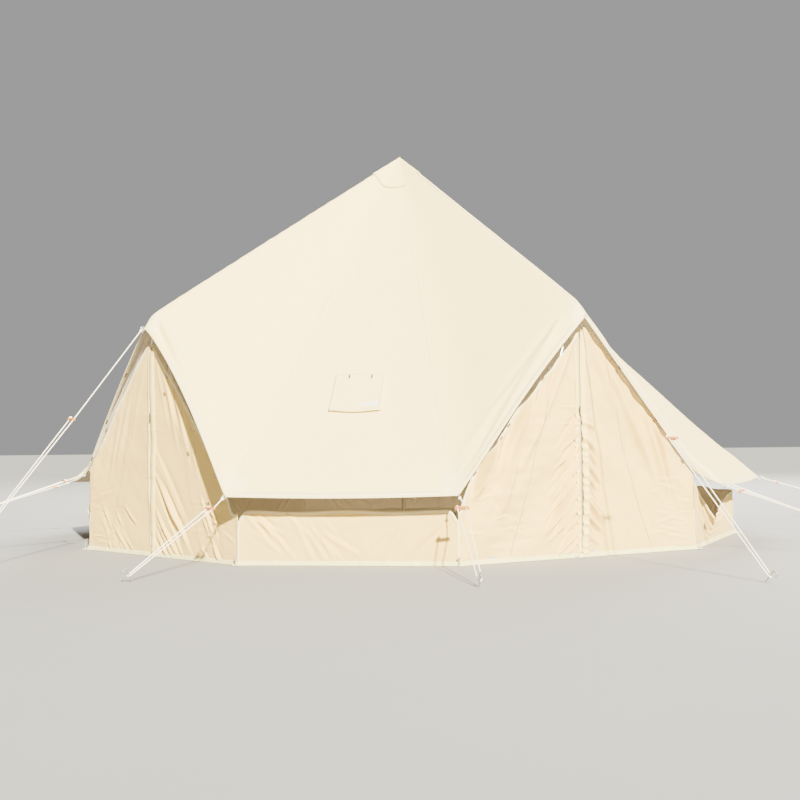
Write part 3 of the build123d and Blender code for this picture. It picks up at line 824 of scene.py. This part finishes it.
def door_strokes(name, side):
    """Folds of one half door in (along, out, height): chevrons beside the zip and long soft folds."""
    draw = np.random.default_rng(200 + DOORS[name] + (side > 0))
    strokes = []
    if name == "right":
        reach = 0.42 if side < 0 else 0.27
        for k in range(19):
            height = 0.05 + 1.05 * (k + draw.uniform(-0.3, 0.3)) / 19
            length = reach * draw.uniform(0.6, 1.2) * (1.15 - 0.5 * abs(height - 0.45))
            width, depth = draw.uniform(0.010, 0.017), draw.uniform(0.009, 0.015)
            strokes.append(stroke(-0.03, height + 0.05, 47 + draw.uniform(-6, 6), length, width, depth))
        for k in range(8):
            place = 0.04 + 0.10 * k * draw.uniform(0.8, 1.2)
            top = float(door_top_height(name, side, np.array(place)))
            width, depth = draw.uniform(0.018, 0.030), draw.uniform(0.010, 0.016) * (1.0 if side < 0 else 0.6)
            angle, length = 68 + draw.uniform(-5, 5), top * draw.uniform(0.4, 0.8)
            strokes.append(stroke(place, top, angle, length, width, depth))
    elif side > 0:
        for k in range(17):
            height = 0.06 + 0.80 * k / 16 + draw.uniform(-0.012, 0.012)
            length = (0.35 + 0.55 * min(1.0, height / 0.5)) * draw.uniform(0.75, 1.1)
            width, depth = draw.uniform(0.012, 0.022), draw.uniform(0.010, 0.018) * (1.1 - 0.6 * height)
            angle = 46 + 12 * height + draw.uniform(-4, 4)
            strokes.append(stroke(-0.02, height + 0.03, angle, length, width, depth))
        for k in range(9):
            height, place = draw.uniform(0.12, 0.50), draw.uniform(0.45, 0.85)
            width, depth = draw.uniform(0.010, 0.018), draw.uniform(0.007, 0.013)
            angle, length = 58 + draw.uniform(-8, 8), draw.uniform(0.2, 0.45)
            strokes.append(stroke(place, height, angle, length, width, depth))
        for k in range(6):
            place = 0.06 + 0.07 * k
            top = float(door_top_height(name, side, np.array(place)))
            angle, depth = 72 + draw.uniform(-6, 6), draw.uniform(0.004, 0.008)
            strokes.append(stroke(place, top - 0.05, angle, 0.6, 0.020, depth))
    else:
        for k in range(12):
            height, place = 0.06 + 0.03 * k, draw.uniform(0.35, 0.75)
            width, depth = draw.uniform(0.012, 0.020), draw.uniform(0.005, 0.011)
            angle, length = 128 + draw.uniform(-14, 14), draw.uniform(0.15, 0.35)
            strokes.append(stroke(place, height, angle, length, width, depth))
        for k in range(7):
            place = 0.05 + 0.06 * k
            top = float(door_top_height(name, side, np.array(place)))
            angle, depth = 70 + draw.uniform(-4, 4), draw.uniform(0.003, 0.006)
            strokes.append(stroke(place, top, angle, top * 0.6, 0.030, depth))
    for k in range(14):
        place, height = draw.uniform(0.45, 0.92), draw.uniform(0.05, 0.55)
        width, depth = draw.uniform(0.009, 0.015), draw.uniform(0.003, 0.008) / FOLD_SCALE[name, side]
        strokes.append(stroke(place, height, draw.uniform(-25, 25), draw.uniform(0.10, 0.28), width, depth))
    for height in (0.62, 0.98, 1.10):
        strokes.append(stroke(-0.02, height, draw.uniform(-3, 3), draw.uniform(0.12, 0.22), 0.007, 0.005))
    return strokes


def door_points(name, side):
    """One half door in the door's own frame: (along, out, height)."""
    half_width = DOOR_EDGES[name, side][-1][0]
    columns = int((half_width - ZIP_EDGE) / CLOTH_STEP) + 1
    rows = int(DOOR_TOP / CLOTH_STEP) + 1
    along = np.linspace(ZIP_EDGE, half_width, columns)
    tops = door_top_height(name, side, along)
    share = np.linspace(1.0, 0.0, rows)[:, None]
    height = share * tops[None] + CLOTH_GROUND_GAP * (1 - share)
    points = np.stack([along[None] + 0 * height, 0 * height, height], axis=-1)
    lift = fold_lift(points, np.array([0.0, 1.0, 0.0]), door_strokes(name, side))
    lift += 0.004 * ripple(points[..., 0], points[..., 2], 31 + DOORS[name] + side, 0.45, 3)
    zip_calm = np.clip((points[..., 0] - 0.012) / 0.045, 0.05, 1.0)
    corner_calm = np.clip((half_width - points[..., 0]) / 0.05, 0.0, 1.0)
    foot_calm = np.clip(height / 0.04, 0.3, 1.0)
    belly = 0.0108 * np.sin(np.pi * np.clip(height / 1.3, 0, 1)) * np.sin(np.pi * along / half_width)[None]
    calm = zip_calm * corner_calm * foot_calm
    points[..., 1] = 0.004 + FOLD_SCALE[name, side] * lift * calm - belly
    points[..., 2] += 0.003 * (np.sin(points[..., 0] * 21 + side) + 1) * (1 - share)
    return points


def to_door(points, azimuth, side):
    """Door frame to the tent's frame."""
    flat = points[..., 0:1] * side * across(azimuth)
    return flat + (DOOR_DISTANCE + points[..., 1:2]) * outward(azimuth) + points[..., 2:3] * UP


def half_door(name, side):
    azimuth = DOORS[name]
    label = "left" if side < 0 else "right"
    local = door_points(name, side)
    points = to_door(local, azimuth, side)
    uvs = np.stack([local[..., 0] * side + azimuth, local[..., 2]], -1)
    cloth = grid_object(f"{name}_door_cloth_{label}", points, WALL_CLOTH, uvs, flip=side < 0)
    thicken(cloth, CLOTH_THICKNESS)
    body = f"{name}_door_{label}"
    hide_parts(f"{name}_door_leaf_{label}")
    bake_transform(cloth)
    pieces = [zip_facing(local, azimuth, side, body)]
    pieces += door_hems(local, azimuth, side, body)


def local_ribbon(name, local, azimuth, side, width, lift, material):
    """Tape on a half door, along a line given in the door's frame, raised outwards."""
    spine = to_door(local, azimuth, side)
    normals = np.repeat(outward(azimuth)[None], len(spine), axis=0)
    return ribbon(name, spine, normals, width, lift, material)


def zip_facing(local, azimuth, side, body):
    """Facing tape beside the zip, and on the right leaf the wider flap that covers the coil."""
    height = np.linspace(0.012, local[0, 1, 2] - 0.03, 220)
    wobble = 0.0030 * np.sin(height * 8.0 + azimuth) + 0.0012 * np.sin(height * 23.0 + azimuth)
    width = 0.026 if side < 0 else 0.058
    middle = ZIP_EDGE + 0.018 + width / 2 if side < 0 else -0.005 + width / 2
    middle = middle + 0.006 * np.sin(height * 5.2 + azimuth)
    out = np.interp(height, local[::-1, 2, 2], local[::-1, 2, 1]) + (0.003 if side < 0 else 0.012)
    out = np.maximum(out, 0.0 if side < 0 else 0.014)
    spine = np.stack([middle, out + wobble, height], -1)
    tape = local_ribbon(f"{body}_zip_facing", spine, azimuth, side, width, 0.003, FACING_CLOTH)
    return ride(tape, body)


def rope_shadow_strip(local):
    """Dark strip along the slanted line the half door swings on: a painted shadow of the guy rope from the
    door's tip.
    """
    places = []
    for row in local[6:-4:2]:
        height = row[len(row) // 2, 2]
        along = SWING_FOOT + (SWING_TOP - SWING_FOOT) * height / DOOR_TOP
        if row[0, 0] + 0.03 < along:
            places.append([np.interp(along, row[:, 0], row[:, k]) for k in range(3)])
    return np.array(places)


def door_hems(local, azimuth, side, body):
    """Hems of a half door, and a dark strip on its swing line that is a painted shadow of the tip's guy rope,
    which bend with its cloth.
    """
    pieces = []
    top, foot = local[0, 1:].copy(), local[-2, 1:].copy()
    top[:, 2] -= HEM_SETBACK
    foot[:, 2] = FOOT_HEM_HEIGHT
    top[:, 1] += HEM_LIFT
    foot[:, 1] += HEM_LIFT
    lines = (
        ("top_hem", top, HEM_WIDTH, HEM_CLOTH), ("foot_hem", foot, HEM_WIDTH, HEM_CLOTH),
        ("rope_shadow_strip", rope_shadow_strip(local), 0.009, ROPE_SHADOW_PAINT))
    for name, spine, width, material in lines:
        piece = local_ribbon(f"{body}_{name}", spine, azimuth, side, width, HEM_LIFT, material)
        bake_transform(piece)
        pieces.append(piece)
    return pieces


def zip_line(name):
    """Zip tapes on both leaves, and the coil on the left leaf's edge."""
    azimuth = DOORS[name]
    heights = np.linspace(ZIP_FOOT, ZIP_FOOT + ZIP_LENGTH, 108)
    for side, body in ((-1, f"{name}_door_left"), (1, f"{name}_door_right")):
        spine = np.stack([0 * heights + ZIP_EDGE - 0.003, 0 * heights + 0.002, heights], -1)
        tape = local_ribbon(f"{body}_zip_tape", spine, azimuth, side, 0.011, 0.0012, ZIP_COIL)
        ride(tape, body)
    turns = 560
    steps = np.arange(turns * 4)
    angle = steps * math.pi / 2
    height = ZIP_FOOT + ZIP_LENGTH * steps / len(steps)
    centre = np.stack([0.0022 * np.cos(angle), 0.0055 + 0.0018 * np.sin(angle), height], -1)
    coil = tube_mesh(f"{name}_door_zip_coil", to_door(centre, azimuth, 1), 0.0007, 4, ZIP_COIL)
    ride(coil, f"{name}_door_left")


def tube_mesh(name, centres, radius, sides, material):
    """Round tube along centres, with UVs in metres."""
    along = unit_rows(np.gradient(centres, axis=0))
    side = unit_rows(np.cross(along, np.array([0.31, 0.22, 0.92])))
    third = np.cross(along, side)
    angles = np.linspace(0, 2 * math.pi, sides, endpoint=False)
    ring = np.cos(angles)[None, :, None] * side[:, None] + np.sin(angles)[None, :, None] * third[:, None]
    radii = np.broadcast_to(np.asarray(radius, dtype=float), (len(centres),))
    points = centres[:, None] + ring * radii[:, None, None]
    faces = grid_faces(len(centres), sides, wrap=True)
    faces.append(tuple(range(sides))[::-1])
    end = (len(centres) - 1) * sides
    faces.append(tuple(range(end, end + sides)))
    length = arc_lengths(centres[:, None], 0)[:, 0]
    uvs = np.stack([length[:, None] + 0 * angles, angles[None] * 0.004 + 0 * length[:, None]], -1)
    return make_object(name, points.reshape(-1, 3), [f[::-1] for f in faces], material, uvs.reshape(-1, 2))


def low_walls():
    """Name, first corner and second corner of every flat run of the low walls."""
    corners = BASE_AZIMUTHS
    runs = [("front", *corners[:2]), ("right", *corners[2:4]), ("left", *corners[-2:])]
    runs += [(f"back_{i + 1}", corners[3 + i], corners[4 + i]) for i in range(BACK_PANELS)]
    return runs


DROOPED_TOP = ((0, 0.53), (0.5, 0.178), (0.62, 0.20), (1.0, 0.31), (1.25, 0.352), (1.573, 0.385))


def wall_top(along, half, name):
    """Top edge of a low wall: hung from its hooks, and rounded off at its free ends."""
    if name == "right":
        places, heights = np.array(DROOPED_TOP).T
        return np.interp(along + half, places, heights)
    top = WALL_HEIGHT + 0.006 * np.cos(along * 9.0)
    if name == "front":
        top = top - 0.075 * np.exp(-(((half - np.abs(along)) / 0.035) ** 2))
    return top


def low_wall(name, first, last):
    start, end = base(first), base(last)
    middle, way = (start + end) / 2, unit(end - start)
    away = np.cross(way, UP)
    half = float(np.linalg.norm(end - start)) / 2
    columns = int(2 * half / CLOTH_STEP) + 1
    rows = 36
    along = np.linspace(-half, half, columns)
    share = np.linspace(1.0, 0.0, rows)[:, None]
    height = share * wall_top(along, half, name)[None] + CLOTH_GROUND_GAP * (1 - share)
    points = np.stack([along[None] + 0 * height, 0 * height, height], axis=-1)
    draw = np.random.default_rng(300 + int(first + 20))
    strokes = []
    for _ in range(24):
        hand = draw.choice([-1.0, 1.0])
        place = hand * half * draw.uniform(0.15, 0.98)
        fold_start = np.array([place, 0.0, draw.uniform(0.24, 0.42)])
        angle = math.radians(draw.uniform(-66, -24))
        fold_way = np.array([-hand * math.cos(angle), 0.0, math.sin(angle)])
        width, depth = draw.uniform(0.010, 0.022), draw.uniform(0.004, 0.010)
        strokes.append((fold_start, fold_start + fold_way * draw.uniform(0.2, 0.55), width, depth))
    for place, reach in ((-half + 0.02, 0.42), (-half + 0.10, 0.50), (half - 0.04, 0.36)):
        fold_start = np.array([place, 0.0, 0.40])
        fold_way = np.array([-math.copysign(0.66, place), 0.0, -0.75])
        strokes.append((fold_start, fold_start + fold_way * reach, 0.017, 0.013))
    lift = fold_lift(points, np.array([0.0, 1.0, 0.0]), strokes)
    lift += 0.004 * ripple(points[..., 0], points[..., 2], 70 + int(first + 20), 0.35, 3)
    calm = np.clip((half - np.abs(points[..., 0])) / 0.06, 0, 1) * np.clip(height / 0.05, 0.2, 1)
    points[..., 1] = 0.004 + lift * calm
    if name == "right":
        slack = np.exp(-(((along + half - 0.55) / 0.35) ** 2))[None]
        points[..., 1] += slack * (0.05 * share**2 + 0.012 * np.sin(share * 24 + along[None] * 9) * share)
    placed = middle + points[..., 0:1] * way + points[..., 1:2] * away + points[..., 2:3] * UP
    uvs = np.stack([points[..., 0] + first, points[..., 2]], -1)
    wall = grid_object(f"low_wall_{name}", placed, WALL_CLOTH, uvs)
    thicken(wall, CLOTH_THICKNESS)
    ride(wall)
    normals = np.repeat(away[None], columns, axis=0)
    top = placed[0] - UP * HEM_SETBACK + away * HEM_LIFT
    foot = placed[-2] + away * HEM_LIFT
    foot[:, 2] = FOOT_HEM_HEIGHT
    for part, spine in (("hem", top), ("foot", foot)):
        hem = ribbon(f"low_wall_{part}_{name}", spine, normals, HEM_WIDTH, HEM_LIFT, HEM_CLOTH)
        ride(hem)
    return wall


def corner_seams():
    """Upright seams at the wall corners, from the ground to the wall's top."""
    for i, azimuth in enumerate(BASE_AZIMUTHS):
        heights = np.linspace(0.01, 0.31, 20)
        spine = base(azimuth, 0.006) + heights[:, None] * UP
        spine = spine + outward(azimuth) * (0.002 * np.sin(heights * 40))[:, None]
        normals = np.repeat(outward(azimuth)[None], len(heights), axis=0)
        seam = ribbon(f"corner_seam_{i + 1}", spine, normals, 0.018, 0.002, HEM_CLOTH)
        ride(seam)


def base_outline(step, inset=0.0):
    corners = [base(azimuth, -inset) for azimuth in BASE_AZIMUTHS]
    runs = []
    for i, corner in enumerate(corners):
        following = corners[(i + 1) % len(corners)]
        runs.append(line(corner, following, int(np.linalg.norm(following - corner) / step)))
    return np.concatenate(runs), corners


def base_strip():
    """Strip of the groundsheet that turns up outside along the foot of all walls and doors."""
    outline, corners = base_outline(0.02)
    way = unit_rows(outline * np.array([1, 1, 0]))
    length = np.cumsum(np.linalg.norm(np.roll(outline, -1, 0) - outline, axis=-1))
    wave = ripple(length, 0 * length, 91, 0.16, 3)
    nearest = np.min([np.linalg.norm(outline - c, axis=-1) for c in corners], axis=0)
    flare = 0.016 * np.exp(-((nearest / 0.05) ** 2))
    crinkle = ripple(length, 0 * length, 17, 0.06, 2)
    profile = ((0.030, 0.010), (0.020, 0.013), (0.010, 0.016), (0.002, 0.024))
    rows = []
    for height, out in profile:
        low = 1 - height / 0.034
        shift = out + flare * low + 0.006 * wave * low + 0.003 * crinkle
        rise = height * (1 + 0.35 * wave + 0.2 * crinkle)
        rows.append(outline + way * shift[:, None] + UP * rise[:, None])
    points = np.stack(rows)
    points[..., 2] = np.maximum(points[..., 2], 0.0016)
    uvs = np.stack([length[None] + 0 * points[..., 0], points[..., 2]], -1)
    strip = grid_object("base_strip", points, BASE_CLOTH, uvs, wrap=True)
    thicken(strip, CLOTH_THICKNESS)
    ride(strip)


def groundsheet():
    """Coated floor sheet with soft undulations, turned up a little inside the walls."""
    outline, _ = base_outline(0.09, 0.008)
    share = np.linspace(0.02, 1.0, 60)
    points = outline[None] * share[:, None, None]
    wave = ripple(points[..., 0], points[..., 1], 55, 0.7, 4)
    points[..., 2] = 0.0035 + 0.0028 * (wave + 1.0) * np.clip(share * 6, 0, 1)[:, None]
    turned_up = points[-1].copy()
    turned_up[:, 2] = 0.05
    points = np.concatenate([points, turned_up[None]])
    sheet = grid_object("groundsheet_cloth", points, SHEET_CLOTH, points[..., :2].copy(), wrap=True)
    thicken(sheet, 0.0010, 1.0)
    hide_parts("groundsheet")
    ride(sheet)


# ---------------------------------------------------------------- ropes

ROPE_RADIUS = 0.004
PEG_RADIUS = 0.005
ROPE_AT_PEG = 0.045
LOOP_HALF_GAP = 0.030
ROPE_TAIL = 0.030
KNOT_RADIUS = 0.0055
RING_RADIUS = 0.015
TIP_PEG_RADII = (4.660, 4.400)
FRONT_PEGS = ((4.080, -17.4), (4.170, 14.2))
SIDE_PEG_RADIUS = 4.800
BACK_PEG_RADIUS = 4.550
TIP_RUNNER_SHARES = (0.52, 0.41)
EAVE_RUNNER_SHARE = 0.16
SIDE_RUNNER_SHARE = 0.09
NEAR = 0.048


class GuyLine:
    """Frame of one guy line: up the rope from its peg, and level across it."""

    def __init__(self, name, node, ring_point, peg_radius, peg_azimuth, runner_share):
        self.name, self.node = name, node
        self.peg = polar(peg_radius, peg_azimuth, ROPE_AT_PEG)
        self.ring = ring_point
        self.up_rope = unit(ring_point - self.peg)
        self.level = unit(np.cross(self.up_rope, UP))
        self.reach = np.linalg.norm(ring_point - self.peg) * (1 - runner_share)

    def at(self, up, side):
        return self.peg + self.up_rope * up + self.level * side

    def route(self):
        """Ring, runner hole, round the peg, and back to the runner's other hole."""
        hole, other = self.at(self.reach, LOOP_HALF_GAP), self.at(self.reach, -LOOP_HALF_GAP)
        below, beside = PEG_RADIUS + ROPE_RADIUS + 0.002, PEG_RADIUS + ROPE_RADIUS + 0.003
        turn = [self.at(-below, beside), self.at(-below, -beside)]
        down, back = unit(turn[0] - hole), unit(other - turn[1])
        in_way = unit(self.ring - hole)
        return [
            self.ring, self.ring - in_way * NEAR, hole + in_way * NEAR, hole, hole + down * NEAR,
            turn[0] - down * NEAR, *turn, turn[1] + back * NEAR,
            other - back * NEAR, self.at(self.reach + ROPE_TAIL, -LOOP_HALF_GAP),
        ]


def guy_lines():
    lines = []
    for i, azimuth in enumerate(DOORS.values()):
        point = polar(TIP_RADIUS, azimuth, TIP_HEIGHT) + outward(azimuth) * RING_RADIUS
        reach, share = TIP_PEG_RADII[i], TIP_RUNNER_SHARES[i]
        lines.append(GuyLine(f"door_guy_{i + 1}", f"rope_tip_{i + 1}", point, reach, azimuth, share))
    for i, azimuth in enumerate(EAVE_AZIMUTHS):
        point = eave(azimuth) + outward(azimuth) * RING_RADIUS
        at_side = i in (2, 3, len(EAVE_AZIMUTHS) - 2, len(EAVE_AZIMUTHS) - 1)
        peg = FRONT_PEGS[i] if i < 2 else (SIDE_PEG_RADIUS if at_side else BACK_PEG_RADIUS, azimuth)
        share = SIDE_RUNNER_SHARE if at_side else EAVE_RUNNER_SHARE
        lines.append(GuyLine(f"eave_guy_{i + 1}", f"rope_eave_{i + 1}", point, *peg, share))
    return lines


def rope_curve(guy):
    curve = bpy.data.curves.new(guy.name, "CURVE")
    curve.dimensions = "3D"
    spline = curve.splines.new("NURBS")
    route = guy.route()
    spline.points.add(len(route) - 1)
    for point, place in zip(spline.points, route):
        point.co = (*place, 1.0)
    spline.order_u = 3
    spline.use_endpoint_u = True
    spline.resolution_u = 10
    curve.bevel_depth = ROPE_RADIUS
    curve.bevel_resolution = 4
    curve.use_fill_caps = True
    curve.materials.append(ROPE)
    return linked(guy.name, curve), route


def knot(name, centre, way, radius):
    """Stopper knot: three fat turns crossed over each other."""
    side = unit(np.cross(way, UP + np.array([0.1, 0.2, 0.0])))
    third = np.cross(way, side)
    steps = np.linspace(0, 2 * math.pi, 60)
    a = radius * (np.sin(steps) + 1.4 * np.sin(2 * steps))
    b = radius * (np.cos(steps) - 1.4 * np.cos(2 * steps))
    c = -radius * 0.9 * np.sin(3 * steps)
    centres = centre + (a[:, None] * side + b[:, None] * third + c[:, None] * way) * 0.62
    return tube_mesh(name, centres, radius * 0.82, 8, ROPE)


def ropes():
    for index, guy in enumerate(guy_lines()):
        rope, route = rope_curve(guy)
        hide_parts(guy.node)
        ride(rope)
        straight = guy.ring - guy.at(guy.reach, LOOP_HALF_GAP)
        knots = {
            "stopper": guy.at(guy.reach + 0.016, -LOOP_HALF_GAP),
            "hitch": guy.ring - unit(straight) * 0.026}
        pieces = [
            ride(knot(f"{guy.name}_{kind}", place, guy.up_rope, KNOT_RADIUS))
            for kind, place in knots.items()]
        if index == 0:
            pieces += ["guy_runners", "guy_pegs"]


# ---------------------------------------------------------------- stage

def look_at_tent():
    """Camera low in front of the tent and a little to its right."""
    azimuth, away, height, aside = 8.174, 11.245, 0.906, -0.025
    pitch, roll = math.radians(1.756), math.radians(-0.715)
    place = polar(away, azimuth, height) + across(azimuth) * aside
    ahead = -outward(azimuth)
    right = across(azimuth)
    forward = ahead * math.cos(pitch) + UP * math.sin(pitch)
    above = -ahead * math.sin(pitch) + UP * math.cos(pitch)
    rolled_right = right * math.cos(roll) + above * math.sin(roll)
    rolled_up = -right * math.sin(roll) + above * math.cos(roll)
    data = bpy.data.cameras.new("camera")
    data.sensor_width = 36.0
    data.lens = 53.35
    data.clip_end = 200.0
    camera = linked("camera", data)
    turn = Matrix([rolled_right, rolled_up, -forward]).transposed()
    camera.matrix_world = Matrix.Translation(place) @ turn.to_4x4()
    bpy.context.scene.camera = camera


def light(name, kind, energy, azimuth, elevation, distance, size, tint):
    data = bpy.data.lights.new(name, kind)
    data.energy = energy
    data.color = tint
    if kind == "SUN":
        data.angle = math.radians(size)
    else:
        data.shape = "DISK"
        data.size = size
    lamp = linked(name, data)
    rise = math.radians(elevation)
    place = polar(math.cos(rise), azimuth) * distance + UP * math.sin(rise) * distance
    towards = unit(-place)
    side = unit(np.cross(towards, UP))
    above = np.cross(side, towards)
    turn = Matrix([side, above, -towards]).transposed()
    lamp.matrix_world = Matrix.Translation(place) @ turn.to_4x4()


def stage():
    size = 60.0
    corners = [(-size, -size, 0.0), (size, -size, 0.0), (size, size, 0.0), (-size, size, 0.0)]
    floor = make_object("floor", corners, [(0, 1, 2, 3)], floor_material())
    light("key", "SUN", 29.0, 24.0, 30.0, 20.0, 1.6, (1.0, 0.94, 0.76))
    light("fill", "AREA", 1500.0, 60.0, 55.0, 14.0, 9.0, (1.0, 0.96, 0.88))
    light("back", "AREA", 7000.0, 175.0, 36.0, 14.0, 9.0, (1.0, 0.98, 0.94))
    world = bpy.data.worlds.new("studio")
    world.use_nodes = True
    background = world.node_tree.nodes["Background"]
    background.inputs["Color"].default_value = (0.90, 0.90, 0.90, 1.0)
    background.inputs["Strength"].default_value = 0.42
    bpy.context.scene.world = world


def hardware():
    for node in ("pole_lower", "pole_middle", "pole_upper", "frame_knuckles"):
        paint(node, TUBE_STEEL)
    for name in DOORS:
        paint(f"{name}_door_frame", TUBE_STEEL)
        paint(f"{name}_door_zip_slider", ZIP_DARK)
    for node in ("pole_foot", "pole_cap", "frame_feet"):
        paint(node, RUBBER)
    for node in ("guy_pegs", "wall_pegs"):
        paint(node, PEG_STEEL)
    for node in ("tip_rings", "eave_rings"):
        paint(node, RING_STEEL)
    paint("guy_runners", RUNNER_WOOD)
    paint("toggles", TOGGLE_WOOD)
    paint("peg_loops", WEBBING)


def roof():
    cloth, area = canopy()
    hem = roof_hem()
    seams = roof_seams()
    corner_patches()
    vent_hood()


def main():
    look_at_tent()
    stage()
    hardware()
    ropes()
    roof()
    stove_flap()
    for name in DOORS:
        half_door(name, -1)
        half_door(name, 1)
        zip_line(name)
    for name, first, last in low_walls():
        wall = low_wall(name, first, last)
        if name == "back_1":
            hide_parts("wall_back")
        elif not name.startswith("back"):
            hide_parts(f"wall_{name}")
    corner_seams()
    base_strip()
    groundsheet()


main()
